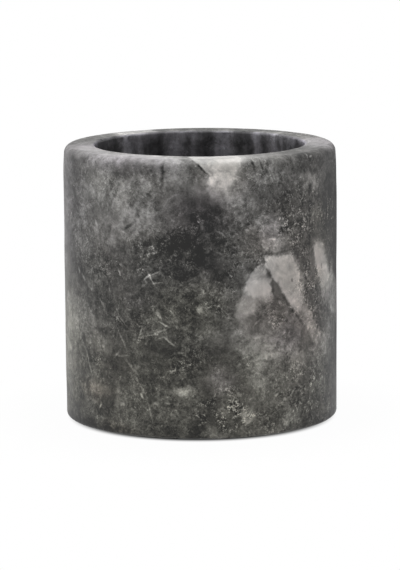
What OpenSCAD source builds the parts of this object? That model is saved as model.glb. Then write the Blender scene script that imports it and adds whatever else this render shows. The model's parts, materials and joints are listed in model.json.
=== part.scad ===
// Open salt cellar: one pot turned from solid stone, on thin round foot pads.
// Millimetres, +Z up. The origin is the centre of the footprint, on the surface that the pads stand on.

/* [Stone pot] */
// Outside diameter of the pot
pot_d = 76; // [60:1:110]
// Height of the stone, from its base to the top of the rim
pot_h = 76; // [50:1:120]
// Thickness of the wall round the salt
wall_t = 9; // [6:0.5:14]
// Thickness of the stone under the salt
floor_t = 10; // [6:0.5:20]
// Radius of the fillet where the bore meets its floor
floor_fillet_r = 5; // [2:0.5:8]

/* [Stone edges] */
// Radius of the soft outer edge of the rim
rim_outer_r = 2.2; // [1:0.1:3]
// Radius of the crisper inner edge of the rim
rim_inner_r = 0.8; // [0.3:0.1:2]
// Height below the rim over which the outside leans in
shoulder_h = 8; // [5:0.5:12]
// How far the outside leans in over that height
shoulder_in = 0.4; // [0.2:0.1:0.8]
// Radius of the edge round the base
base_edge_r = 1; // [0.4:0.1:2]

/* [Foot pads] */
// Number of pads, evenly spaced
pad_count = 4; // [3:1:6]
// Diameter of a pad where it is stuck to the stone
pad_d = 10; // [6:0.5:14]
// Thickness of a pad, which is the gap under the stone
pad_t = 0.8; // [0.6:0.1:2]
// Radius of the edge round a pad's underside
pad_edge_r = 0.3; // [0.1:0.1:0.5]
// Stone left clear between a pad and the side of the pot
pad_inset = 6; // [4:0.5:10]

/* [Hidden] */
$fn = 180;
pot_r = pot_d / 2;
bore_r = pot_r - wall_t;
pot_top = pad_t + pot_h;
bore_floor = pad_t + floor_t;
// Length by which a cut runs past the face that it opens
overrun = 1;
// Radius of the long arc of the shoulder, which starts upright at its foot
shoulder_r = (shoulder_h * shoulder_h + shoulder_in * shoulder_in) / (2 * shoulder_in);
shoulder_foot = pot_top - shoulder_h;
// Angle up the long arc at which the rim's outer edge takes over from it
rim_edge_z = pot_top - rim_outer_r;
take_over_angle = asin((rim_edge_z - shoulder_foot) / (shoulder_r - rim_outer_r));
rim_edge_x = pot_r - shoulder_r + (shoulder_r - rim_outer_r) * cos(take_over_angle);
// The first pad stands half a step round, so that the front view looks between two pads
pad_step = 360 / pad_count;
pad_circle_r = pot_r - pad_inset - pad_d / 2;

// What a round edge takes off an upper right corner, drawn from the centre of the round
module corner_waste(r) {
    difference() {
        square(r + overrun);
        circle(r);
    }
}

// What the rim's outer edge takes off, from where it leaves the long arc to where it meets the top
module rim_edge_waste() {
    intersection() {
        corner_waste(rim_outer_r);
        rotate(take_over_angle) square(rim_outer_r + overrun);
    }
}

// What the long arc takes off the upright side, up past the rim
module shoulder_waste() {
    difference() {
        translate([bore_r, shoulder_foot]) square([wall_t + overrun, shoulder_h + overrun]);
        translate([pot_r - shoulder_r, shoulder_foot]) circle(shoulder_r);
    }
}

// The hollow for the salt, drawn as half of its section
module bore_profile() {
    difference() {
        translate([0, bore_floor]) square([bore_r, pot_top - bore_floor + overrun]);
        translate([bore_r - floor_fillet_r, bore_floor + floor_fillet_r])
            mirror([0, 1]) corner_waste(floor_fillet_r);
    }
}

// Half of the pot's section
module pot_profile() {
    difference() {
        translate([0, pad_t]) square([pot_r, pot_h]);
        bore_profile();
        shoulder_waste();
        translate([rim_edge_x, rim_edge_z]) rim_edge_waste();
        translate([bore_r + rim_inner_r, pot_top - rim_inner_r]) mirror([1, 0]) corner_waste(rim_inner_r);
        translate([pot_r - base_edge_r, pad_t + base_edge_r]) mirror([0, 1]) corner_waste(base_edge_r);
    }
}

module pot() {
    color([0.38, 0.38, 0.39]) rotate_extrude() pot_profile();
}

// A thin disc with a rounded lower edge, stuck to the base by its whole upper face
module foot_pad(i) {
    color([0.13, 0.13, 0.14])
        rotate((i - 1 / 2) * pad_step)
            translate([pad_circle_r, 0])
                rotate_extrude()
                    difference() {
                        square([pad_d / 2, pad_t]);
                        translate([pad_d / 2 - pad_edge_r, pad_edge_r]) mirror([0, 1]) corner_waste(pad_edge_r);
                    }
}

pot();
for (i = [1:pad_count])
    foot_pad(i);
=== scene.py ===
import json
import math
import random

import bpy
from mathutils import Matrix, Vector


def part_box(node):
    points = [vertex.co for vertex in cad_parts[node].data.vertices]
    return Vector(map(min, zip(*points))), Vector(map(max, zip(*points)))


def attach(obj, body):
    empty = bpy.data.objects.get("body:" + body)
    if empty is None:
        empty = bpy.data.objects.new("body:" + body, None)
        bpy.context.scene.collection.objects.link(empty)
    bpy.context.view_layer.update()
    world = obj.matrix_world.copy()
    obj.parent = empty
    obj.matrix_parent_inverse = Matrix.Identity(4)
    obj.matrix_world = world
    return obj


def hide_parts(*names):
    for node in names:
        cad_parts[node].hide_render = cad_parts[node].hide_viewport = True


# An open salt pot turned from dark cloudy marble, on four thin rubber pads, seen a little from above.

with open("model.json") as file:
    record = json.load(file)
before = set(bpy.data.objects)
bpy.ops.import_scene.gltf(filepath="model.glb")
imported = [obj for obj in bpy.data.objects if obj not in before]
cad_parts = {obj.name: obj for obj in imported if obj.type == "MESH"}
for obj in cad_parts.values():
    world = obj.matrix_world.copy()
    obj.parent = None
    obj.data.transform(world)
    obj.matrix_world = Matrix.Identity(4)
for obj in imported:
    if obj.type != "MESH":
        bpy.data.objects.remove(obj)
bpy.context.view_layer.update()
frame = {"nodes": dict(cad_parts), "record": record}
mm = 0.001
mouth = next(m for m in frame["record"]["mounts"] if m["name"] == "mouth")
print("frame loaded:", ", ".join(sorted(frame["nodes"])))


class Wire:
    # a node's output that can be written into sums; the tree travels with it

    def __init__(self, tree, socket):
        self.tree = tree
        self.socket = socket

    def math(self, operation, *values):
        return addNode(self.tree, "ShaderNodeMath", {"operation": operation}, dict(enumerate(values)))

    def __add__(self, other):
        return self.math("ADD", self, other)

    def __radd__(self, other):
        return self.math("ADD", other, self)

    def __sub__(self, other):
        return self.math("SUBTRACT", self, other)

    def __rsub__(self, other):
        return self.math("SUBTRACT", other, self)

    def __mul__(self, other):
        return self.math("MULTIPLY", self, other)

    def __rmul__(self, other):
        return self.math("MULTIPLY", other, self)

    def __truediv__(self, other):
        return self.math("DIVIDE", self, other)

    def __rtruediv__(self, other):
        return self.math("DIVIDE", other, self)

    def __pow__(self, other):
        return self.math("POWER", self, other)


def addNode(tree, kind, settings=None, inputs=None, out=0):
    # settings go first because they can change which sockets a node has
    node = tree.nodes.new(kind)
    for name, value in (settings or {}).items():
        if name == "stops":
            ramp = node.color_ramp
            while len(ramp.elements) < len(value):
                ramp.elements.new(1.0)
            for element, (place, colour) in zip(ramp.elements, value):
                element.position = place
                element.color = (*colour, 1.0)
        else:
            setattr(node, name, value)
    for name, value in (inputs or {}).items():
        if isinstance(value, Wire):
            tree.links.new(value.socket, node.inputs[name])
        else:
            node.inputs[name].default_value = value
    return Wire(tree, node.outputs[out]) if node.outputs else node


def newMaterial(name):
    material = bpy.data.materials.new(name)
    material.use_nodes = True
    material.node_tree.nodes.clear()
    return material


def newTree(kind, name, inputs, output):
    # a tree with sockets of its own, and its inputs as wires; each socket is given as name: kind
    tree = bpy.data.node_groups.new(name, kind)
    for direction, sockets in (("INPUT", inputs), ("OUTPUT", output)):
        for label, socket in sockets.items():
            tree.interface.new_socket(name=label, in_out=direction, socket_type=socket)
    start = tree.nodes.new("NodeGroupInput")
    return tree, {socket.name: Wire(tree, socket) for socket in start.outputs if socket.name}


def smoothMask(value, low, high):
    # 0 at low, 1 at high, with soft ends; low may be the larger one; it never leaves 0 to 1, and the node's own
    # clamp would keep a place on Cycles' stack for each of the masks
    return addNode(value.tree, "ShaderNodeMapRange", {"interpolation_type": "SMOOTHSTEP", "clamp": False},
                   {"Value": value, "From Min": low, "From Max": high})


def vectorMath(operation, first, second=None, out=0, **more):
    inputs = {0: first} if second is None else {0: first, 1: second}
    inputs.update(more)
    return addNode(first.tree, "ShaderNodeVectorMath", {"operation": operation}, inputs, out)


def splitVector(vector):
    node = vector.tree.nodes.new("ShaderNodeSeparateXYZ")
    vector.tree.links.new(vector.socket, node.inputs[0])
    return [Wire(vector.tree, socket) for socket in node.outputs]


def noise(place, size, detail=2.0, roughness=0.5, out=0, distortion=0.0, kind="FBM"):
    # size is the width of its blotches in the units of place
    return addNode(place.tree, "ShaderNodeTexNoise", {"noise_type": kind}, {
        "Vector": place, "Scale": 1.0 / size, "Detail": detail, "Roughness": roughness, "Distortion": distortion,
    }, out)


def smoke(place, size, swirl, detail, roughness):
    # wisps that curl round each other, about 0
    return noise(place, size, detail, roughness, distortion=swirl) - 0.5


def crumbs(place, size, detail, roughness):
    # light clumps that are full of detail in calm dark stone, about 0
    return noise(place, size, detail, roughness, kind="MULTIFRACTAL") - 1.0


def wander(place, size, reach, detail=2.0):
    # the same place, moved by up to about half of reach, so that outlines come out uneven
    shift = vectorMath("SUBTRACT", noise(place, size, detail, out="Color"), (0.5, 0.5, 0.5))
    return vectorMath("MULTIPLY_ADD", shift, (reach, reach, reach), **{"Vector_002": place})


# The camera stands where the photograph was taken from: a long lens, a little above the rim, hardly tilted.

cameraView = {
    "distance": 898.6 * mm,
    "elevation": 9.495,          # degrees above the table
    "roll": -0.468,              # degrees, the picture leans this much
    "lens": 202.9,
    "aim": Vector((-0.23, 0, 36.77)) * mm,
}


def makeCamera():
    up = math.radians(cameraView["elevation"])
    back = Vector((0, -math.cos(up), math.sin(up)))
    camera = bpy.data.objects.new("camera", bpy.data.cameras.new("camera"))
    bpy.context.scene.collection.objects.link(camera)
    turn = (-back).to_track_quat("-Z", "Y").to_matrix().to_4x4()
    roll = Matrix.Rotation(math.radians(cameraView["roll"]), 4, "Z")
    camera.matrix_world = Matrix.Translation(cameraView["aim"] + back * cameraView["distance"]) @ turn @ roll
    camera.data.lens = cameraView["lens"]
    camera.data.clip_start = 0.05
    camera.data.clip_end = 20
    bpy.context.scene.camera = camera


makeCamera()
print("camera placed")


# A white table under soft light from above and from the left.

studio = {
    "floorSize": 6.0,
    "floorColour": (0.50, 0.50, 0.50),
    "shadowZone": (33.5 * mm, 38 * mm),  # the table's plain white fades in over this distance from the axis
    "nearWhite": 0.97,                   # share of plain white beside the pot, the rest is lit and shaded
    "farZone": (0.042, 0.075),           # where the last of the shading fades out
    "ambient": 0.40,                     # light from all round, for everything but the background
    "mirrored": 0.25,                    # how much of the white behind the pot's right edge shows in reflections
    "lamps": {
        # name: place, width, height, watts
        "overhead": ((0.0, 0.0, 1.3), 1.3, 1.3, 20.0),
        "left": ((-1.2, -0.5, 0.8), 0.9, 0.9, 9.0),
    },
}


def lightPath(tree, *outputs):
    # 1 for a ray of any of the kinds named
    node = tree.nodes.new("ShaderNodeLightPath")
    total = Wire(tree, node.outputs[outputs[0]])
    for name in outputs[1:]:
        total = total.math("MAXIMUM", total, Wire(tree, node.outputs[name]))
    return total


def mirrored(place):
    # 1 for what the camera sees, and less at the back right for what the stone reflects
    backRight = vectorMath("DOT_PRODUCT", vectorMath("NORMALIZE", place), (0.34, 0.94, 0), out="Value")
    dimming = smoothMask(backRight, 0.85, 0.98) * (1 - studio["mirrored"])
    return 1.0 - lightPath(place.tree, "Is Glossy Ray") * dimming


def makeStudio():
    bpy.context.scene.view_settings.view_transform = "Standard"
    half = studio["floorSize"] / 2
    mesh = bpy.data.meshes.new("floor")
    mesh.from_pydata([(-half, -half, 0), (half, -half, 0), (half, half, 0), (-half, half, 0)], [], [(0, 1, 2, 3)])
    floor = bpy.data.objects.new("floor", mesh)
    bpy.context.scene.collection.objects.link(floor)
    material = newMaterial("white table")
    tree = material.node_tree
    plain = addNode(tree, "ShaderNodeBsdfDiffuse", {}, {"Color": (*studio["floorColour"], 1)})
    place = Wire(tree, tree.nodes.new("ShaderNodeTexCoord").outputs["Object"])
    white = addNode(tree, "ShaderNodeEmission", {}, {"Color": (1, 1, 1, 1), "Strength": mirrored(place)})
    far = vectorMath("LENGTH", place, out="Value")
    near = smoothMask(far, *studio["shadowZone"]) * studio["nearWhite"]
    share = near + smoothMask(far, *studio["farZone"]) * (1 - studio["nearWhite"])
    seen = lightPath(tree, "Is Camera Ray", "Is Glossy Ray", "Is Transmission Ray")
    mixed = addNode(tree, "ShaderNodeMixShader", {}, {"Fac": seen * share, 1: plain, 2: white})
    addNode(tree, "ShaderNodeOutputMaterial", {}, {"Surface": mixed})
    mesh.materials.append(material)

    world = bpy.data.worlds.new("studio")
    world.use_nodes = True
    tree = world.node_tree
    tree.nodes.clear()
    direction = Wire(tree, tree.nodes.new("ShaderNodeTexCoord").outputs["Generated"])
    background = addNode(tree, "ShaderNodeBackground", {}, {"Color": (1, 1, 1, 1), "Strength": mirrored(direction)})
    ambient = addNode(tree, "ShaderNodeBackground", {}, {"Color": (1, 1, 1, 1), "Strength": studio["ambient"]})
    seen = lightPath(tree, "Is Camera Ray", "Is Glossy Ray", "Is Transmission Ray")
    mixed = addNode(tree, "ShaderNodeMixShader", {}, {"Fac": seen, 1: ambient, 2: background})
    addNode(tree, "ShaderNodeOutputWorld", {}, {"Surface": mixed})
    bpy.context.scene.world = world

    for name, (place, width, height, watts) in studio["lamps"].items():
        lamp = bpy.data.lights.new(name, "AREA")
        lamp.shape = "RECTANGLE"
        lamp.size = width
        lamp.size_y = height
        lamp.energy = watts
        holder = bpy.data.objects.new(name, lamp)
        bpy.context.scene.collection.objects.link(holder)
        toPot = Vector((0, 0, 0.04)) - Vector(place)
        holder.matrix_world = Matrix.Translation(place) @ toPot.to_track_quat("-Z", "Y").to_matrix().to_4x4()
        holder.visible_camera = False


makeStudio()
print("table and lamps placed")


# The marble. Every wedge and stroke, and most clouds, are lenses or plates of other stone that lie in the wall;
# some clouds are painted shade or painted light instead, as marked. Angle is in degrees round the pot from the
# front, to the right; height, length and width are in mm, the last two from the middle to the edge; tilt turns the
# length up from level, anticlockwise; tone is added to the stone's; soft is how much of the outline fades, from 0 to
# 1.

marble = {
    "plainTone": 0.285,
    "drift": (26, 0.24),         # width in mm and strength of the slow change of tone
    "smoke": 0.50,               # strengths of the textures
    "wisps": 0.62,
    "crumbs": 0.08,
    "grain": 0.38,
    "needles": 0.32,
    "threads": 0.09,
    "grit": 0.25,
    "roughness": 0.46,
    "seed": 11,
    "stops": [
        (0.10, (0.0100, 0.0098, 0.0094)),
        (0.25, (0.0520, 0.0507, 0.0478)),
        (0.40, (0.1350, 0.1325, 0.1265)),
        (0.60, (0.3190, 0.3145, 0.3050)),
        (0.80, (0.6040, 0.5890, 0.5690)),
        (0.95, (0.8550, 0.8260, 0.7900)),
    ],
    "clouds": [
        # angle, height, length, width, tilt, tone, soft
        # upper left
        (-41, 66, 13.0, 10.5, 0, 0.11, 0.6),
        (-45, 73.5, 5.0, 3.0, 0, 0.05, 0.9),
        (-35, 64, 4.5, 3.0, 100, 0.06, 0.8),
        (-19, 60, 5.5, 3.5, 20, 0.10, 0.9),
        # left side
        (-79, 62, 17.0, 5.0, 90, 0.05, 0.9),
        (-75, 21, 10.0, 6.5, 90, 0.13, 0.9),
        (-80, 46, 8.0, 4.0, 90, 0.07, 0.9),
        (-64, 57.5, 3.6, 2.6, 0, 0.06, 0.9),
        (-27, 63, 4.0, 2.6, 0, 0.08, 0.9),
        (-46.5, 25.5, 3.0, 2.3, 0, 0.08, 0.8),
        (-36, 52.5, 4.0, 2.4, 0, 0.09, 0.9),
        (-56, 54, 4.0, 3.2, 0, 0.07, 0.9),
        (-46, 42.5, 4.0, 2.4, 20, 0.07, 0.9),
        (-15, 31, 4.0, 4.0, 0, 0.08, 0.9),
        (-5, 7.5, 3.0, 2.2, 0, 0.07, 0.9),
        # right side
        (30, 56, 5.2, 4.2, -15, 0.16, 0.7),
        (25, 24.5, 4.2, 3.4, 10, 0.20, 0.9),
        (43, 20.5, 3.0, 3.4, 0, 0.17, 0.9),
        (19.7, 7, 2.4, 2.2, 80, 0.28, 0.7),
        (24.5, 16, 2.6, 4.0, 0, 0.10, 0.9),
        (17, 28, 4.0, 2.6, 0, 0.10, 0.9),
        (52, 69, 3.2, 2.2, 0, 0.17, 0.8),
        (16, 63.5, 3.5, 3.0, 0, 0.08, 0.9),
        (7.3, 16.3, 2.4, 3.6, 0, 0.17, 0.9),
        (30, 14, 5.0, 4.0, 0, 0.06, 0.9),
        (39, 5.0, 3.0, 1.8, 0, 0.15, 0.9),
        (26, 2.0, 9.0, 2.0, 0, 0.09, 0.9),
        (6.5, 1.8, 3.4, 1.4, 0, 0.16, 0.9),
        (35, 24, 3.6, 3.4, 0, 0.09, 0.9),
        (56, 22.5, 3.0, 3.0, 0, 0.07, 0.9),
        (54, 29, 6.0, 2.6, -45, 0.06, 0.9),
        (66, 24, 3.4, 3.0, 0, 0.14, 0.9),
        # small ones
        (-8.3, 14, 3.2, 1.3, 0, 0.32, 0.9),
        (0.3, 36, 1.4, 0.9, -20, 0.32, 0.8),
        (-33.7, 11.5, 4.0, 2.2, 15, 0.09, 0.9),
        (-50, 12.5, 3.6, 1.8, 0, 0.09, 0.9),
        (31, 55, 0.9, 0.6, 10, 0.20, 0.9),
        (-45, 30.5, 1.6, 1.0, 0, 0.10, 0.9),
        # dark stone, with painted shade where marked
        (1.9, 63, 5.5, 4.0, -20, -0.14, 0.8),
        (-3, 54, 10.0, 3.2, 4, -0.09, 0.8),
        (-18, 25, 6.0, 4.0, 0, -0.06, 0.8),
        (-42, 5.5, 5.0, 4.0, 0, -0.08, 0.8),
        (-12, 3, 8.0, 2.6, 0, -0.07, 0.8),
        (35, 64, 8.5, 5.0, 0, -0.07, 0.9),
        (50.0, 42, 8.0, 1.4, -80, -0.03, 0.8),
        (9, 24, 6.0, 3.0, 0, -0.06, 0.9),
        # painted shade: darker towards the right edge, where less light falls
        (70, 60, 7.0, 5.5, 0, -0.09, 0.9),
        (-65.5, 62, 13.0, 1.5, 90, -0.07, 0.9),
        (-38, 70.5, 3.5, 1.5, 60, -0.08, 0.9),
        (-49, 63.5, 2.6, 1.2, 40, -0.10, 0.8),
        (-1.5, 71.8, 2.6, 1.6, -50, -0.12, 0.8),
        (-29, 75.8, 3.2, 1.0, -15, -0.09, 0.9),
        (50, 76, 2.6, 1.2, 0, -0.12, 0.9),
        (30, 36, 3.6, 3.0, 0, -0.03, 0.9),
        (-22, 38, 20.0, 11.0, 0, -0.06, 0.9),
        (-10, 51.5, 14.0, 6.0, 0, -0.10, 0.9),
        (-20, 19, 16.0, 10.0, 0, -0.03, 0.9),
        # painted shade: the right edge made darker, where less light falls and little white is reflected
        (86, 38, 37.0, 6.0, 90, -0.10, 0.9),
        (77, 58, 14.0, 4.5, 90, -0.08, 0.9),
        (67, 60, 8.0, 3.5, 80, -0.10, 0.9),
        (-26, 73.5, 3.4, 2.6, 0, -0.05, 0.9),
        (-64, 71.5, 6.0, 4.0, 0, -0.11, 0.9),
        (44, 54.5, 5.0, 3.4, 0, -0.12, 0.9),
        (66, 66, 3.0, 4.0, 0, -0.06, 0.9),
        (68, 54, 4.0, 3.0, 0, -0.05, 0.9),
        # painted shade: darker low on the right edge and along the foot
        (80, 8, 11.0, 7.0, 90, -0.16, 0.9),
        (64, 0.6, 16.0, 2.6, 0, -0.18, 0.9),
        (46, 4.5, 3.0, 4.0, 0, -0.07, 0.9),
        (-1, 2.0, 5.0, 2.0, 0, -0.06, 0.9),
        (-26, 67, 3.0, 2.4, 0, -0.06, 0.9),
        (-5, 38, 3.0, 2.4, 0, -0.07, 0.9),
        (-10, 52.5, 6.0, 2.4, 0, -0.05, 0.9),
        (-27, 12.5, 4.0, 3.0, 0, -0.04, 0.9),
        (-66, 62.5, 3.0, 2.6, 0, -0.05, 0.9),
        (-5, 57.5, 5.0, 2.6, 0, -0.09, 0.9),
        (-5, 31, 10.0, 3.0, 90, -0.06, 0.9),
        (-39, 17, 5.0, 3.6, 0, -0.07, 0.9),
        (-47, 28, 2.4, 2.0, 0, -0.07, 0.9),
        (3, 9.5, 2.4, 4.4, 0, -0.08, 0.9),
        (31.5, 3.8, 2.0, 1.2, 0, -0.09, 0.9),
        (54, 8, 4.0, 3.0, 0, -0.10, 0.9),
        (-5, 47, 4.0, 3.0, 0, -0.07, 0.9),
        (-64, 46, 4.0, 3.4, 0, -0.06, 0.9),
        (-46, 48, 3.4, 2.6, 0, -0.05, 0.9),
        (-25, 32, 3.0, 2.4, 0, -0.05, 0.9),
        # painted shade along the foot on the left
        (-62, 0.8, 18.0, 2.4, 0, -0.15, 0.9),
        (-14, 13, 3.4, 2.4, 0, -0.05, 0.9),
        # paler stone of the right half
        (42, 38, 26.0, 14.0, 90, 0.05, 0.9),
        (20, 68, 7.0, 6.5, 60, 0.09, 0.9),
        (2, 70, 3.4, 4.2, 0, 0.13, 0.9),
        (-13, 70, 6.0, 5.0, 0, 0.09, 0.9),
        (24, 50, 6.0, 6.0, 0, 0.07, 0.9),
        (35, 52.0, 4.4, 3.0, 0, 0.11, 0.9),
        (28, 33, 6.5, 4.4, 0, 0.10, 0.9),
        (44, 31.5, 5.0, 3.0, -30, 0.08, 0.9),
        (30, 25, 9.0, 5.0, 0, 0.06, 0.9),
        (60, 22, 6.0, 4.0, 0, 0.06, 0.9),
        (3, 28.5, 3.6, 3.0, 0, 0.14, 0.9),
        (26, 7, 8.0, 5.0, 0, 0.03, 0.9),
        (7, 69.5, 4.0, 5.0, 0, 0.14, 0.9),
        (22, 63, 4.0, 4.0, 0, 0.07, 0.9),
        (36, 73.5, 4.5, 2.4, 0, 0.08, 0.9),
        (48, 69, 5.0, 2.6, 0, 0.06, 0.9),
        (25, 73.5, 4.0, 3.0, 0, 0.10, 0.9),
        (-7, 73.5, 4.0, 2.6, 0, 0.09, 0.9),
        (22, 47.5, 4.0, 3.4, 0, 0.05, 0.9),
        (52, 47, 4.0, 3.0, 0, 0.08, 0.9),
        (4.5, 72.5, 3.0, 3.0, 0, 0.09, 0.9),
        (15, 67, 3.6, 3.4, 0, 0.11, 0.9),
        (24, 62, 3.0, 3.0, 0, 0.05, 0.9),
        (36, 2.5, 3.0, 2.0, 0, 0.08, 0.9),
        (65, 12.5, 3.0, 3.0, 0, 0.07, 0.9),
        (75, 28, 3.0, 4.0, 0, 0.05, 0.9),
        # and of the upper left
        (-46, 68, 4.0, 3.0, 0, 0.08, 0.9),
        (-27, 61, 5.0, 3.4, 0, 0.08, 0.9),
        (-38, 56.5, 8.0, 3.0, 0, 0.08, 0.9),
        (-35, 68, 3.4, 2.6, 0, 0.07, 0.9),
        (-15, 71, 4.0, 4.0, 0, 0.06, 0.9),
        (-70, 22.5, 4.0, 3.0, 0, 0.06, 0.9),
        (-7, 11.5, 3.0, 3.0, 0, 0.05, 0.9),
        (-5, 43, 3.0, 2.0, 0, 0.07, 0.9),
        (-35, 7.5, 3.0, 2.0, 0, 0.06, 0.9),
    ],
    "rimStoneAndPaintedLight": [
        # on the flat of the rim: partly lighter stone and partly painted light, the top made lighter where the light
        # from above and its reflection fall; the one at the back is darker
        (-28, 79.0, 13.0, 3.8, 0, 0.36, 0.8),
        (-62, 79.0, 7.0, 3.4, 0, 0.14, 0.9),
        (-10, 79.0, 5.0, 3.2, 0, 0.10, 0.9),
        (28, 79.0, 9.0, 3.4, 0, 0.18, 0.9),
        (92, 79.0, 13.0, 3.4, 0, 0.37, 0.8),
        (180, 78.5, 20.0, 3.4, 0, -0.08, 0.9),
    ],
    "boreStreaks": [
        (-79, 79.5, 10.0, 3.8, 0, 0.18, 0.9),
        (226, 73, 9.0, 2.4, 90, 0.23, 0.9),
        (193.5, 73, 9.0, 2.4, 90, 0.20, 0.9),
        (183.8, 73, 9.0, 1.2, 90, 0.12, 0.9),
        (166, 73, 9.0, 2.4, 90, 0.22, 0.9),
        (146, 73, 9.0, 1.4, 90, 0.18, 0.9),
        (133, 73, 9.0, 1.2, 90, 0.14, 0.9),
        (234, 73, 9.0, 1.6, 90, -0.05, 0.9),
        (204, 73, 9.0, 2.4, 90, -0.05, 0.9),
        (175, 73, 9.0, 1.4, 90, -0.06, 0.9),
        (152, 73, 9.0, 1.6, 90, -0.05, 0.9),
    ],
    "plates": [
        # tone, depth into the wall, and the corners anticlockwise: angle, height, and how many mm the side
        # that starts there takes to fade
        # the cream wedge at the rim
        (0.31, 10, [(20.5, 80, 1.0), (-8.1, 80, 0.8), (4.2, 72.2, 1.2), (8.0, 70.5, 4.0), (14.0, 71.5, 5.0)]),
        (0.31, 8, [(20.5, 80, 3.0), (2.6, 80, 1.6), (3.4, 67.0, 6.0), (8.0, 65.6, 6.0), (13.0, 68.6, 5.0),
                   (16.5, 72.5, 4.0)]),
        # the long wedge and its tail
        (0.37, 6, [(41.6, 50.0, 1.0), (26.6, 50.0, 1.0), (27.2, 47.6, 1.1), (41.6, 34.0, 3.5), (46.9, 33.3, 3.4),
                   (48.2, 40.0, 2.0)]),
        (0.17, 6, [(48.6, 36.5, 2.5), (42.2, 35.5, 1.6), (48.0, 29.4, 1.6), (54.5, 24.4, 2.5), (60.0, 26.0, 2.0)]),
        # the one that leans against it, with a grey top and a tail
        (0.46, 6, [(29.2, 44.2, 4.5), (22.5, 45.4, 4.5), (18.4, 44.2, 1.8), (18.2, 40.2, 2.5), (23.0, 37.8, 5.0),
                   (30.6, 38.4, 1.4)]),
        (0.24, 6, [(26.6, 48.8, 0.9), (20.2, 45.6, 1.0), (19.2, 43.0, 1.5), (29.4, 42.6, 1.0)]),
        (0.26, 6, [(25.5, 40.5, 2.2), (19.6, 41.4, 1.6), (13.8, 37.2, 1.6), (13.6, 34.2, 2.4), (16.6, 32.6, 2.4),
                   (24.8, 37.4, 2.6)]),
        # the one that runs out of sight at the right edge
        (0.40, 8, [(61.8, 51.9, 2.5), (54.2, 52.3, 1.6), (54.8, 48.4, 1.8), (57.4, 42.7, 2.0), (62.0, 38.0, 4.0),
                   (71.0, 40.0, 3.0)]),
        (0.26, 8, [(67.0, 44.5, 2.5), (56.5, 44.0, 2.0), (61.5, 35.4, 2.0), (80.0, 28.0, 6.0), (87.0, 38.0, 3.0)]),
        # lower left
        (0.14, 8, [(-49.5, 33.0, 2.0), (-56.0, 36.5, 2.5), (-78.0, 37.0, 5.0), (-78.0, 25.5, 5.0),
                   (-60.0, 26.5, 4.0), (-48.4, 27.6, 0.8)]),
        (0.06, 6, [(-42.4, 27.2, 1.6), (-56.0, 28.0, 2.0), (-54.0, 23.6, 3.0), (-44.0, 22.6, 1.6)]),
        # the side that the photograph doesn't show
        (0.30, 6, [(134, 60, 1.0), (122, 62, 1.2), (120, 56, 1.2), (131, 39, 3.5), (139, 44, 2.0)]),
        (0.20, 6, [(120, 57, 1.4), (110, 50, 1.4), (112, 44, 2.5), (122, 50, 2.0)]),
        (0.20, 6, [(186, 36, 0.9), (172, 40, 0.9), (163, 33, 2.0), (170, 27, 4.0), (184, 31, 2.0)]),
        (0.28, 6, [(182, 30, 0.8), (172, 27, 0.8), (176, 12, 3.0), (184, 14, 1.6)]),
        (0.30, 9, [(224, 80, 1.0), (203, 80, 0.8), (211, 67, 2.5), (217, 65, 5.0), (224, 71, 3.0)]),
        (0.28, 6, [(259, 50, 0.8), (245, 50.5, 0.8), (245.5, 46, 1.2), (256, 27, 3.0), (261, 29, 1.6)]),
        (0.14, 6, [(262, 32, 2.5), (255, 30, 1.6), (260, 22, 1.6), (267, 17, 2.5), (272, 20, 2.0)]),
    ],
    "strokes": [
        # angle, height, length, width, tilt, tone, soft
        # dark cracks
        (-0.6, 75.2, 3.6, 0.30, -44, -0.26, 0.8),
        (28.8, 45.4, 2.6, 0.50, -52, -0.06, 0.8),
        (36.5, 50.9, 4.8, 0.30, 5, -0.10, 0.8),
        (20.4, 45.4, 2.6, 0.30, 55, -0.12, 0.8),
        (41.0, 34.6, 5.0, 0.50, -50, -0.14, 0.8),
        (40.7, 42.7, 0.35, 0.5, 20, -0.20, 0.8),
        (60.7, 44.9, 0.35, 0.6, 0, -0.20, 0.8),
        (-15.4, 72.8, 3.6, 0.45, 88, -0.22, 0.9),
        (22.3, 75.0, 1.8, 0.35, -72, -0.22, 0.8),
        (25.8, 75.2, 1.8, 0.30, -75, -0.20, 0.8),
        (28.6, 74.8, 2.0, 0.35, 85, -0.12, 0.8),
        (-29.3, 64, 0.9, 0.5, -60, -0.15, 0.8),
        (-30.4, 58.5, 1.8, 0.45, 32, -0.18, 0.8),
        (51.7, 67, 0.9, 1.2, 0, -0.20, 0.8),
        (51.4, 58, 8.0, 0.35, 90, -0.12, 0.8),
        (-38, 66, 4.5, 0.35, 62, -0.08, 0.9),
        # light crystals and threads
        (-26.4, 41.2, 3.2, 0.22, 40, 0.10, 0.9),
        (-22.2, 44.9, 1.4, 0.24, 42, 0.34, 0.7),
        (-18.9, 45.9, 1.6, 0.20, 26, 0.26, 0.7),
        (-20.3, 44.2, 1.7, 0.22, -60, 0.28, 0.7),
        (-25.9, 46.9, 0.9, 0.24, 24, 0.24, 0.7),
        (-17.9, 43.4, 1.4, 0.20, 8, 0.20, 0.7),
        (-17.3, 34.6, 1.4, 0.40, -60, 0.30, 0.7),
        (-15.2, 32.2, 1.4, 0.28, -26, 0.32, 0.7),
        (-25.6, 29.7, 1.5, 0.22, 76, 0.28, 0.7),
        (-21.5, 29.0, 3.2, 0.18, 12, 0.16, 0.8),
        (-16.5, 30.4, 2.6, 0.22, 24, 0.18, 0.8),
        (-13.0, 27.5, 1.8, 0.26, -40, 0.28, 0.7),
        (-8.6, 24.6, 0.9, 0.26, 0, 0.26, 0.8),
        (-36, 32.5, 1.7, 0.20, -42, 0.20, 0.8),
        (-33.5, 31.9, 1.7, 0.20, -42, 0.18, 0.8),
        (-45.0, 36.8, 1.3, 0.22, -38, 0.20, 0.8),
        (-35.2, 45.6, 0.8, 0.26, -60, 0.24, 0.8),
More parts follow.
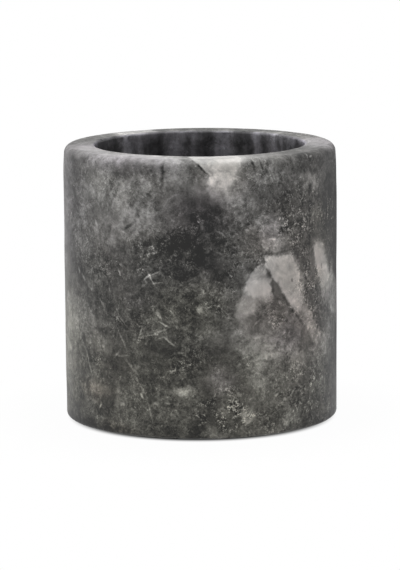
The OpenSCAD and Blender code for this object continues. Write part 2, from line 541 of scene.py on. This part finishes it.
        (-45, 36.4, 1.5, 0.30, -42, 0.12, 0.8),
        (-37.3, 37.0, 2.2, 0.50, -82, 0.12, 0.9),
        (-57.6, 42.6, 1.2, 0.40, -40, 0.20, 0.8),
        (-61, 44.0, 0.9, 0.35, -80, 0.18, 0.8),
        (-34.2, 47.6, 0.9, 0.35, -60, 0.14, 0.8),
        (-54.5, 20.0, 3.0, 0.30, -68, 0.18, 0.8),
        (-37.0, 23.0, 1.6, 0.28, 50, 0.18, 0.8),
        (-34.5, 22.8, 2.2, 0.28, 5, 0.18, 0.8),
        (-34.6, 27.6, 2.4, 0.28, -62, 0.16, 0.8),
        (-29.5, 19.6, 3.0, 0.36, -48, 0.17, 0.8),
        (-25.5, 14.6, 3.4, 0.30, -58, 0.15, 0.8),
        (-21.6, 8.0, 3.6, 0.28, -76, 0.15, 0.8),
        (-46.8, 7.9, 0.9, 0.28, 58, 0.32, 0.7),
        (-51.5, 9.0, 2.8, 0.40, 0, 0.14, 0.9),
        (-25.2, 12.0, 0.9, 0.32, -55, 0.30, 0.7),
        (-34.8, 9.4, 0.7, 0.45, 0, 0.18, 0.8),
        (-13.8, 10.6, 1.1, 0.28, 6, 0.20, 0.8),
        (-12.0, 19.6, 1.6, 0.28, 12, 0.18, 0.8),
        (-22.5, 3.6, 1.2, 0.28, 52, 0.18, 0.8),
        (40.2, 11.6, 1.2, 0.25, 52, 0.26, 0.7),
        (44.0, 12.2, 0.8, 0.30, 40, 0.18, 0.8),
        (32.2, 11.6, 0.6, 0.30, 45, 0.24, 0.8),
        (36.5, 10.2, 0.5, 0.40, 0, 0.24, 0.8),
        (15.6, 21.2, 0.5, 0.35, 30, 0.20, 0.8),
        (9.0, 9.2, 2.6, 0.30, 16, 0.14, 0.9),
        (14.6, 7.2, 1.2, 0.26, 35, 0.14, 0.8),
        (36.6, 28.8, 0.5, 0.5, 0, 0.26, 0.8),
        (34.4, 37.0, 0.7, 0.35, -50, 0.20, 0.8),
        (23.2, 32.2, 0.9, 0.30, 40, 0.20, 0.8),
        (49.0, 56.0, 1.9, 0.35, 6, 0.26, 0.8),
        (47.6, 56.9, 0.8, 0.3, 60, 0.18, 0.8),
        (73.5, 57.0, 1.8, 0.35, 2, 0.24, 0.8),
        (30.8, 54.6, 1.0, 0.30, -8, 0.26, 0.8),
        (8.2, 56.8, 2.0, 0.26, -34, 0.13, 0.8),
        (12.0, 56.3, 1.2, 0.30, -55, 0.13, 0.8),
        (7.8, 51.6, 2.4, 0.26, -24, 0.11, 0.8),
        (51.5, 76.2, 0.9, 0.3, 60, 0.30, 0.8),
        (53.5, 75.6, 0.8, 0.3, 30, 0.26, 0.8),
        (-33.0, 56.6, 1.0, 0.3, -20, 0.16, 0.8),
        (-48.0, 58.2, 1.4, 0.35, -66, 0.16, 0.8),
    ],
    "tints": {
        # name: colour at full strength, and patches as before, with the strength in the place of the tone
        "rosy": ((1.035, 0.96, 0.915), [
            (9, 71, 7.0, 5.0, 0, 0.35, 0.8),
            (48, 42, 22.0, 12.0, 80, 0.7, 0.9),
            (24, 54, 5.0, 4.0, 0, 0.5, 0.8),
            (26, 35, 7.0, 5.0, 0, 0.5, 0.9),
            (53, 29, 7.0, 4.0, -45, 0.4, 0.9),
            (-50, 12, 6.0, 2.6, 0, 0.9, 0.9),
            (-38, 2, 5.0, 2.0, 0, 0.6, 0.9),
        ]),
        "olive": ((1.0, 0.995, 0.90), [
            (-78, 18, 22.0, 10.0, 90, 0.9, 0.9),
            (-30, 12, 26.0, 24.0, 0, 0.9, 0.9),
            (25, 8, 30.0, 16.0, 0, 0.8, 0.9),
            (-4, 37, 10.0, 7.0, 0, 0.7, 0.9),
            (66, 57, 8.0, 6.0, 0, 0.6, 0.9),
        ]),
        "violet": ((0.985, 0.955, 1.03), [
            (-80, 66, 20.0, 12.0, 90, 1.0, 0.9),
            (-35, 77, 14.0, 4.0, 0, 0.9, 0.9),
            (88, 77, 14.0, 5.0, 0, 0.9, 0.9),
            (8, 17, 3.6, 3.6, 0, 0.9, 0.9),
            (38, 27, 5.0, 4.0, 0, 0.6, 0.9),
            (-1, 62, 7.0, 5.0, 0, 0.9, 0.9),
            (31, 57, 4.0, 3.6, 0, 0.4, 0.9),
            (-27, 38, 4.0, 2.0, 0, 0.4, 0.9),
        ]),
    },
    # the bluish colour of painted shade inside the bore
    "boreShadeTint": (0.96, 0.955, 1.08),
    "calm": [
        # smooth stone, with less of the fine mottling
        (-42, 67, 12.0, 9.0, 0, 0.3, 0.8),
        (-78, 50, 30.0, 7.0, 90, 0.5, 0.9),
        (-18, 25, 6.0, 4.0, 0, 0.5, 0.9),
        (9, 71, 7.0, 7.0, 0, 0.6, 0.9),
        (24.5, 42.5, 5.0, 4.0, 0, 0.7, 0.7),
        (19, 37, 5.0, 3.0, 45, 0.6, 0.9),
        (37, 45.5, 6.5, 5.0, -60, 0.75, 0.7),
        (62, 46, 10.0, 3.6, -60, 0.6, 0.9),
        (24, 25, 5.0, 4.0, 0, 0.4, 0.9),
        # the rim
        (-24, 79, 15.0, 4.6, 0, 0.8, 0.9),
        (-64, 79, 9.0, 4.6, 0, 0.7, 0.9),
        (20, 79, 13.0, 4.0, 0, 0.7, 0.9),
        (74, 79, 15.0, 4.0, 0, 0.6, 0.9),
        # wedges of the side that the photograph doesn't show
        (129, 51, 9.0, 5.0, -60, 0.6, 0.9),
        (177, 27, 8.0, 5.0, -60, 0.5, 0.9),
        (214, 73, 6.0, 7.0, 0, 0.6, 0.9),
        (250, 40, 9.0, 5.0, -60, 0.6, 0.9),
    ],
    "needled": [
        # where the light needles lie thickest
        (-30, 33, 16.0, 9.0, 10, 0.9, 0.8),
        (-22, 15, 14.0, 12.0, 0, 0.6, 0.9),
        (10, 54, 10.0, 6.0, 0, 0.6, 0.9),
        (-10, 40, 20.0, 8.0, 0, 0.5, 0.9),
        (0, 22, 6.0, 5.0, 0, 0.6, 0.9),
    ],
    "grainy": [
        # where the stone is coarse, with light and dark grains
        (47, 60, 8.0, 7.0, -20, 1.0, 0.7),
        (72, 58, 7.0, 7.0, 0, 1.0, 0.8),
        (50, 42, 10.0, 3.5, -75, 0.8, 0.8),
        (47, 13, 9.0, 9.0, 0, 0.8, 0.9),
        (10, 8, 7.0, 4.0, 0, 0.8, 0.9),
        (35, 33, 6.0, 5.0, 0, 0.6, 0.9),
        (-7, 21, 6.0, 4.0, 0, 0.8, 0.9),
        (22, 66, 6.0, 8.0, 0, 0.4, 0.9),
        (-40, 31, 5.0, 5.0, 0, 0.6, 0.9),
        (55, 29, 6.0, 4.0, -45, 0.6, 0.9),
    ],
}


def inTheWall(angle, height, scale, tilt, radius):
    # where a patch lies: x along its length, y across, z out of the wall, each 1 at the patch's edge
    turn, lean = math.radians(angle), math.radians(tilt)
    along = Vector((math.cos(turn), math.sin(turn), 0))
    outward = Vector((math.sin(turn), -math.cos(turn), 0))
    up = Vector((0, 0, 1))
    lengthways = along * math.cos(lean) + up * math.sin(lean)
    across = up * math.cos(lean) - along * math.sin(lean)
    return {
        "Location": outward * radius + up * height,
        "Rotation": Matrix((lengthways, across, outward)).transposed().to_euler("XYZ"),
        "Scale": scale,
    }


def patchTree():
    # adds the tone of one lens of stone to a running total
    tree, given = newTree("ShaderNodeTree", "patch", {
        "Vector": "NodeSocketVector", "Location": "NodeSocketVector", "Rotation": "NodeSocketVector",
        "Scale": "NodeSocketVector", "Uneven": "NodeSocketFloat", "Soft": "NodeSocketFloat",
        "Tone": "NodeSocketFloat", "Total": "NodeSocketFloat",
    }, {"Total": "NodeSocketFloat"})
    inside = addNode(tree, "ShaderNodeMapping", {"vector_type": "TEXTURE"}, {
        name: given[name] for name in ("Vector", "Location", "Rotation", "Scale")
    })
    ball = addNode(tree, "ShaderNodeTexGradient", {"gradient_type": "SPHERICAL"}, {"Vector": inside}, "Fac")
    mask = smoothMask(ball * given["Uneven"], 0.0, given["Soft"])
    addNode(tree, "NodeGroupOutput", {}, {"Total": mask.math("MULTIPLY_ADD", mask, given["Tone"], given["Total"])})
    return tree


patch = patchTree()


def sumPatches(place, patches, radius, uneven=1.0, least=1.6):
    # one running sum, because Cycles has room for only a few loose values at a time, in a tree of its own,
    # because each new node takes longer in a large one; half of a patch's tone is left at its length and width
    tree, given = newTree("ShaderNodeTree", "patches", {
        "Place": "NodeSocketVector", "Uneven": "NodeSocketFloat",
    }, {"Total": "NodeSocketFloat"})
    total = 0.0
    for angle, height, length, width, tilt, tone, soft in patches:
        grow = 1 / (1 - soft / 2)
        depth = max(least, min(length, 2 * width))
        total = addNode(tree, "ShaderNodeGroup", {"node_tree": patch}, {
            **inTheWall(angle, height, (length * grow, width * grow, depth * grow), tilt, radius),
            "Vector": given["Place"], "Uneven": given["Uneven"], "Soft": soft, "Tone": tone, "Total": total,
        })
    addNode(tree, "NodeGroupOutput", {}, {"Total": total})
    return addNode(place.tree, "ShaderNodeGroup", {"node_tree": tree}, {"Place": place, "Uneven": uneven})


def plateMask(place, depth, corners, radius, rough):
    # 1 inside a flat plate that shows on the side of the pot as the outline given, which bulges everywhere
    middle = sum(angle for angle, height, soft in corners) / len(corners)
    level = sum(height for angle, height, soft in corners) / len(corners)
    flat = [(radius * math.sin(math.radians(angle - middle)), height - level) for angle, height, soft in corners]
    inside = addNode(place.tree, "ShaderNodeMapping", {"vector_type": "TEXTURE"}, {
        **inTheWall(middle, level, (1, 1, depth), 0, radius), "Vector": place,
    })
    through = splitVector(inside)[2]
    mask = smoothMask(through.math("ABSOLUTE", through), 1.1, 0.8)
    for k, (x, y) in enumerate(flat):
        nextX, nextY = flat[(k + 1) % len(flat)]
        inward = Vector((y - nextY, nextX - x, 0)).normalized()
        soft = corners[k][2]
        far = vectorMath("DOT_PRODUCT", inside, inward, out="Value") + rough
        edge = inward.x * x + inward.y * y
        mask = smoothMask(far, edge - soft / 2, edge + soft / 2) * mask
    return mask


def layPlates(place, plates, radius, rough):
    # the lightest plate counts where two overlap
    tree, given = newTree("ShaderNodeTree", "plates", {
        "Place": "NodeSocketVector", "Rough": "NodeSocketFloat",
    }, {"Tone": "NodeSocketFloat"})
    tone = 0.0
    for lightness, depth, corners in plates:
        mask = plateMask(given["Place"], depth, corners, radius, given["Rough"])
        tone = mask.math("MAXIMUM", mask * lightness, tone)
    addNode(tree, "NodeGroupOutput", {}, {"Tone": tone})
    return addNode(place.tree, "ShaderNodeGroup", {"node_tree": tree}, {"Place": place, "Rough": rough})


def needles(place, spacing, length, width):
    # thin plates of light crystal, one in each cell, that show as short straight lines where they are cut
    cell = place.tree.nodes.new("ShaderNodeTexVoronoi")
    place.tree.links.new(place.socket, cell.inputs["Vector"])
    cell.inputs["Scale"].default_value = 1 / spacing
    colour = Wire(place.tree, cell.outputs["Color"])
    offset = vectorMath("SUBTRACT", place, Wire(place.tree, cell.outputs["Position"]))
    facing = vectorMath("NORMALIZE", vectorMath("SUBTRACT", colour, (0.5, 0.5, 0.5)))
    across = vectorMath("DOT_PRODUCT", offset, facing, out="Value")
    thin = smoothMask(across.math("ABSOLUTE", across), width, 0.0)
    short = smoothMask(vectorMath("LENGTH", offset, out="Value"), length, 0.0)
    bright = splitVector(colour)[0]
    return thin * short * bright * bright


def threads(place, size):
    # hair-thin winding lines where a slow noise crosses its middle
    fold = noise(place, size, 3.0, 0.6) - 0.5
    return smoothMask(fold.math("ABSOLUTE", fold), 0.022, 0.004)


def backPatches():
    # the sides that the photograph doesn't show get patches of the same kinds
    draw = random.Random(marble["seed"])
    patches = []
    for number in range(30):
        angle = 92 + number * 176 / 30 + draw.uniform(-4, 4)
        height = draw.uniform(4, 74)
        light = draw.random() < 0.55
        length = draw.uniform(3, 9)
        width = length * draw.uniform(0.35, 0.8)
        tilt = draw.choice((0, 10, -20, 60, 90, -60))
        tone = draw.uniform(0.07, 0.20) if light else -draw.uniform(0.05, 0.11)
        patches.append((angle, height, length, width, tilt, tone, draw.uniform(0.6, 0.9)))
    return patches


def backStrokes():
    # and fine strokes
    draw = random.Random(marble["seed"] + 1)
    patches = []
    for number in range(24):
        angle = 84 + number * 190 / 24 + draw.uniform(-4, 4)
        tone = draw.uniform(0.10, 0.24) if draw.random() < 0.75 else -draw.uniform(0.10, 0.22)
        patches.append((angle, draw.uniform(4, 74), draw.uniform(0.8, 3.4), draw.uniform(0.22, 0.4),
                        draw.uniform(-80, 80), tone, 0.8))
    return patches


def makeMarble():
    material = newMaterial("dark marble")
    tree = material.node_tree
    coordinates = Wire(tree, tree.nodes.new("ShaderNodeTexCoord").outputs["Object"])
    place = vectorMath("SCALE", coordinates, Scale=1 / mm)
    loose = wander(place, 5.0, 3.6, 4.0)
    tight = wander(place, 1.6, 0.9, 2.0)
    rough = noise(place, 2.6, 5.0, 0.62) - 0.5
    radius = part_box("pot")[1].x / mm

    # the clouds
    uneven = rough * 3.6 + 1.0
    tone = sumPatches(loose, marble["clouds"] + backPatches(), radius, uneven)
    gentle = rough * 1.2 + 1.0
    # the rim's lighter stone and its painted light
    tone = sumPatches(loose, marble["rimStoneAndPaintedLight"], radius - 4, gentle) + tone
    tone = sumPatches(loose, marble["boreStreaks"], mouth["dims"]["r_mm"], gentle) + tone
    fray = (noise(place, 1.8, 3.0) - 0.5) * 2.4
    tone = layPlates(tight, marble["plates"], radius, fray) + tone
    strokes = sumPatches(tight, marble["strokes"] + backStrokes(), radius)
    width, strength = marble["drift"]
    tone = (noise(loose, width, 3.0, 0.55) - 0.5) * strength + marble["plainTone"] + tone

    # how the fine texture changes from place to place
    region = noise(loose, 16, 1.0)
    calm = sumPatches(loose, marble["calm"], radius) + smoothMask(region, 0.56, 0.68) * 0.4
    needled = sumPatches(loose, marble["needled"], radius) + smoothMask(region, 0.52, 0.38) * 0.5 + 0.15
    grainy = sumPatches(loose, marble["grainy"], radius) + smoothMask(noise(loose, 13, 1.0), 0.50, 0.64) * 0.6 + 0.2
    lively = 1.0 - calm.math("MINIMUM", calm, 0.85)

    tone = smoke(place, 6.0, 1.2, 6.0, 0.60) * marble["smoke"] + tone
    wisps = smoke(place, 2.2, 1.2, 6.0, 0.75) * marble["wisps"] + crumbs(place, 3.0, 6.0, 0.8) * marble["crumbs"]
    wisps = smoke(place, 0.6, 0.5, 2.0, 0.7) * marble["grain"] + wisps
    fretted = wander(place, 0.9, 0.7, 2.0)
    light = needles(fretted, 1.0, 0.9, 0.16) + needles(fretted, 1.9, 1.8, 0.18)
    clustered = smoothMask(noise(place, 3.5, 3.0), 0.42, 0.62)
    grit = crumbs(place, 0.9, 3.0, 1.0) * grainy * smoothMask(noise(place, 2.4, 3.0), 0.40, 0.58)
    dark = threads(fretted, 4.4) * smoothMask(noise(loose, 6.0, 2.0), 0.50, 0.60)
    wisps = (threads(fretted, 3.4) * smoothMask(region, 0.56, 0.44) - dark) * marble["threads"] + wisps
    texture = light * clustered * needled * marble["needles"] + grit * marble["grit"] + wisps

    # the bore keeps the drill's up-and-down streaks and less of the fine texture; it is also painted darker,
    # as painted shade, and lighter towards the mouth, as painted light coming in
    fromAxis = vectorMath("LENGTH", vectorMath("MULTIPLY", place, (1, 1, 0)), out="Value")
    inBore = smoothMask(fromAxis, 30.0, 29.3)
    tone = texture * lively * (1.0 - inBore * 0.6) + tone + strokes
    # these streaks lie mostly below 0, and with the 0.04 taken off they darken the bore as painted shade
    streaks = noise(vectorMath("MULTIPLY", place, (1, 1, 0.14)), 2.4, 3.0) - 0.6
    # painted light: lighter towards the mouth, where light comes in
    paintedMouthLight = smoothMask(vectorMath("DOT_PRODUCT", place, (0, 0, 1), out="Value"), 73.0, 77.5) * 0.13
    tone = (streaks * 0.40 - 0.04 + paintedMouthLight) * inBore + tone

    colour = addNode(tree, "ShaderNodeValToRGB", {"stops": marble["stops"]}, {"Fac": tone})
    # tints the bore with the colour of its painted shade
    colour = addNode(tree, "ShaderNodeMix", {"data_type": "RGBA", "blend_type": "MULTIPLY"},
                     {"Factor": inBore, "A": colour, "B": (*marble["boreShadeTint"], 1)}, 2)
    for shade, patches in marble["tints"].values():
        share = sumPatches(loose, patches, radius) + smoothMask(noise(loose, 8.0 + len(patches)), 0.40, 0.75) * 0.2
        colour = addNode(tree, "ShaderNodeMix", {"data_type": "RGBA", "blend_type": "MULTIPLY"},
                         {"Factor": share, "A": colour, "B": (*shade, 1)}, 2)

    # the bump has a short graph of its own, because Cycles works it out three times over
    height = noise(place, 0.8, 3.0, 0.6) * 0.8 + light * 0.3
    bump = addNode(tree, "ShaderNodeBump", {}, {"Strength": 0.25, "Distance": 0.12 * mm, "Height": height})
    roughness = (noise(loose, 3.0, 3.0) - 0.5) * 0.22 + marble["roughness"] - light * 0.08
    finish = addNode(tree, "ShaderNodeBsdfPrincipled", {}, {
        "Base Color": colour, "Roughness": roughness, "Specular IOR Level": 0.28, "Normal": bump,
    })
    addNode(tree, "ShaderNodeOutputMaterial", {}, {"Surface": finish})
    return material


marbleMaterial = makeMarble()
print("marble mixed:", len(marbleMaterial.node_tree.nodes), "nodes")


# The stone: half of its section is drawn, turned round the axis, and then finished by hand.

pot = {
    "turns": 480,                # faces round the pot
    "floorThickness": 10 * mm,
    "floorFillet": 5 * mm,
    "rimOuter": 2.2 * mm,        # soft outer edge
    "rimInner": 0.8 * mm,        # crisper inner edge
    "shoulderHeight": 8 * mm,
    "shoulderIn": 0.4 * mm,
    "baseEdge": 1.0 * mm,
    "wobble": 0.12 * mm,         # how far the hand finish takes the surface in
    "wobbleSize": 18 * mm,
    "nickDepth": 0.30 * mm,
    "nickSize": 1.3 * mm,
    "seed": 4,
}


def straight(start, end, step, edge=0.0):
    count = max(1, round((Vector(end) - Vector(start)).length / step))
    return [(*Vector(start).lerp(Vector(end), k / count), edge) for k in range(1, count + 1)]


def arc(centre, radius, first, last, count, edge=0.0):
    # from the angle first to last in degrees, without its first point
    angles = [math.radians(first + (last - first) * k / count) for k in range(1, count + 1)]
    return [(centre[0] + radius * math.cos(a), centre[1] + radius * math.sin(a), edge) for a in angles]


def potSection():
    # from the middle of the base round the rim to the middle of the floor: radius, height, and how easily
    # that edge is nicked
    low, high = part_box("pot")
    side, base, top = high.x, low.z, high.z
    bore = mouth["dims"]["r_mm"] * mm
    edge, outer, inner = pot["baseEdge"], pot["rimOuter"], pot["rimInner"]
    fillet, floor = pot["floorFillet"], base + pot["floorThickness"]
    rise, lean = pot["shoulderHeight"], pot["shoulderIn"]
    longR = (rise * rise + lean * lean) / (2 * lean)
    foot = top - rise
    takeOver = math.asin((rise - outer) / (longR - outer))
    rimX = side - longR + (longR - outer) * math.cos(takeOver)
    points = [(0.0, base, 0.0)]
    points += straight((0, base), (side - edge, base), 4 * mm)
    points += arc((side - edge, base + edge), edge, -90, 0, 9, 1.0)
    points += straight((side, base + edge), (side, foot), 1.0 * mm)
    points += arc((side - longR, foot), longR, 0, math.degrees(takeOver), 10)
    points += arc((rimX, top - outer), outer, math.degrees(takeOver), 90, 14, 0.45)
    points += straight((rimX, top), (bore + inner, top), 0.9 * mm)
    points += arc((bore + inner, top - inner), inner, 90, 180, 8, 0.75)
    points += straight((bore, top - inner), (bore, floor + fillet), 2.0 * mm)
    points += arc((bore - fillet, floor + fillet), fillet, 0, -90, 9)
    points += straight((bore - fillet, floor), (0, floor), 4 * mm)
    return points


def turningTree():
    tree, given = newTree("GeometryNodeTree", "turn the pot", {
        "Geometry": "NodeSocketGeometry", "Turns": "NodeSocketInt", "Wobble": "NodeSocketFloat",
        "Wobble Size": "NodeSocketFloat", "Nick Depth": "NodeSocketFloat", "Nick Size": "NodeSocketFloat",
        "Seed": "NodeSocketInt", "Marble": "NodeSocketMaterial",
    }, {"Geometry": "NodeSocketGeometry"})
    section = given["Geometry"]
    rings = addNode(tree, "GeometryNodeAttributeDomainSize", {}, {"Geometry": section}, "Point Count")
    sheet = addNode(tree, "GeometryNodeMeshGrid", {}, {"Vertices X": given["Turns"] + 1, "Vertices Y": rings})
    index = addNode(tree, "GeometryNodeInputIndex")
    ring = index.math("MODULO", index, rings)
    turn = index.math("FLOOR", index / rings) / given["Turns"] * (2 * math.pi)
    position = addNode(tree, "GeometryNodeInputPosition")
    drawn = addNode(tree, "GeometryNodeSampleIndex", {"data_type": "FLOAT_VECTOR"}, {
        "Geometry": section, "Value": position, "Index": ring,
    })
    edgeDrawn = addNode(tree, "GeometryNodeInputNamedAttribute", {"data_type": "FLOAT"}, {"Name": "edge"})
    edge = addNode(tree, "GeometryNodeSampleIndex", {"data_type": "FLOAT"}, {
        "Geometry": section, "Value": edgeDrawn, "Index": ring,
    })
    radius, height = splitVector(drawn)[::2]
    turned = addNode(tree, "ShaderNodeCombineXYZ", {}, {
        "X": radius * turn.math("COSINE", turn), "Y": radius * turn.math("SINE", turn), "Z": height,
    })
    stone = addNode(tree, "GeometryNodeStoreNamedAttribute", {"data_type": "FLOAT", "domain": "POINT"}, {
        "Geometry": sheet, "Name": "edge", "Value": edge,
    })
    stone = addNode(tree, "GeometryNodeSetPosition", {}, {"Geometry": stone, "Position": turned})
    stone = addNode(tree, "GeometryNodeMergeByDistance", {}, {"Geometry": stone, "Distance": 0.001 * mm})

    # the hand finish only ever takes stone away
    seeded = vectorMath("ADD", position, addNode(tree, "ShaderNodeCombineXYZ", {}, {
        "X": given["Seed"] * 0.37, "Y": given["Seed"] * 0.61,
    }))
    slow, quick = [addNode(tree, "ShaderNodeTexNoise", {}, {"Vector": seeded, "Scale": 1 / given[size], "Detail": 1.0})
                   for size in ("Wobble Size", "Nick Size")]
    edgeHere = addNode(tree, "GeometryNodeInputNamedAttribute", {"data_type": "FLOAT"}, {"Name": "edge"})
    nick = smoothMask(quick, 0.60, 0.74) * edgeHere
    depth = smoothMask(slow, 0.25, 0.75) * given["Wobble"] + nick * given["Nick Depth"]
    normal = addNode(tree, "GeometryNodeInputNormal")
    offset = vectorMath("SCALE", normal, Scale=0 - depth)
    stone = addNode(tree, "GeometryNodeSetPosition", {}, {"Geometry": stone, "Offset": offset})
    stone = addNode(tree, "GeometryNodeSetShadeSmooth", {}, {"Geometry": stone, "Shade Smooth": True})
    stone = addNode(tree, "GeometryNodeRealizeInstances", {}, {"Geometry": stone})
    stone = addNode(tree, "GeometryNodeSetMaterial", {}, {"Geometry": stone, "Material": given["Marble"]})
    addNode(tree, "NodeGroupOutput", {}, {"Geometry": stone})
    return tree


def runTree(piece, tree, values):
    # gives the piece the mesh that the tree makes, and takes the modifier off again
    modifier = piece.modifiers.new(tree.name, "NODES")
    modifier.node_group = tree
    for item in tree.interface.items_tree:
        if item.in_out == "INPUT" and item.name in values:
            modifier[item.identifier] = values[item.name]
    graph = bpy.context.evaluated_depsgraph_get()
    shape = piece.evaluated_get(graph)
    mesh = bpy.data.meshes.new_from_object(shape, preserve_all_data_layers=True, depsgraph=graph)
    piece.modifiers.remove(modifier)
    # the grid that the tree starts from leaves an empty slot before the real one
    material = mesh.materials[-1]
    mesh.materials.clear()
    mesh.materials.append(material)
    mesh.polygons.foreach_set("material_index", [0] * len(mesh.polygons))
    mesh.update()
    piece.data = mesh


def makePot():
    section = potSection()
    mesh = bpy.data.meshes.new("stonePot")
    mesh.from_pydata([(radius, 0, height) for radius, height, edge in section],
                     [(k, k + 1) for k in range(len(section) - 1)], [])
    mesh.attributes.new("edge", "FLOAT", "POINT").data.foreach_set("value", [point[2] for point in section])
    mesh.materials.append(marbleMaterial)
    stone = bpy.data.objects.new("stonePot", mesh)
    bpy.context.scene.collection.objects.link(stone)
    runTree(stone, turningTree(), {
        "Turns": pot["turns"], "Wobble": pot["wobble"], "Wobble Size": pot["wobbleSize"],
        "Nick Depth": pot["nickDepth"], "Nick Size": pot["nickSize"], "Seed": pot["seed"],
        "Marble": marbleMaterial,
    })
    return stone


stonePot = makePot()
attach(stonePot, "root")
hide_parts("pot")
print("pot turned:", len(stonePot.data.polygons), "faces")


# Rubber pads under the base, as the frame has them.

padFinish = {
    "roughness": 0.72,
    "dark": (0.012, 0.012, 0.013),
    "light": (0.024, 0.024, 0.025),
}


def makeRubber():
    material = newMaterial("pad rubber")
    tree = material.node_tree
    coordinates = Wire(tree, tree.nodes.new("ShaderNodeTexCoord").outputs["Object"])
    place = vectorMath("SCALE", coordinates, Scale=1 / mm)
    grain = noise(place, 0.25, 2.0)
    colour = addNode(tree, "ShaderNodeMix", {"data_type": "RGBA"}, {
        "Factor": grain, "A": (*padFinish["dark"], 1), "B": (*padFinish["light"], 1),
    }, 2)
    bump = addNode(tree, "ShaderNodeBump", {}, {"Strength": 0.3, "Distance": 0.05 * mm, "Height": grain})
    finish = addNode(tree, "ShaderNodeBsdfPrincipled", {}, {
        "Base Color": colour, "Roughness": padFinish["roughness"], "Normal": bump,
    })
    addNode(tree, "ShaderNodeOutputMaterial", {}, {"Surface": finish})
    return material


rubber = makeRubber()
for name, node in frame["nodes"].items():
    if name.startswith("foot_pad"):
        node.data.materials.clear()
        node.data.materials.append(rubber)
print("pads finished")
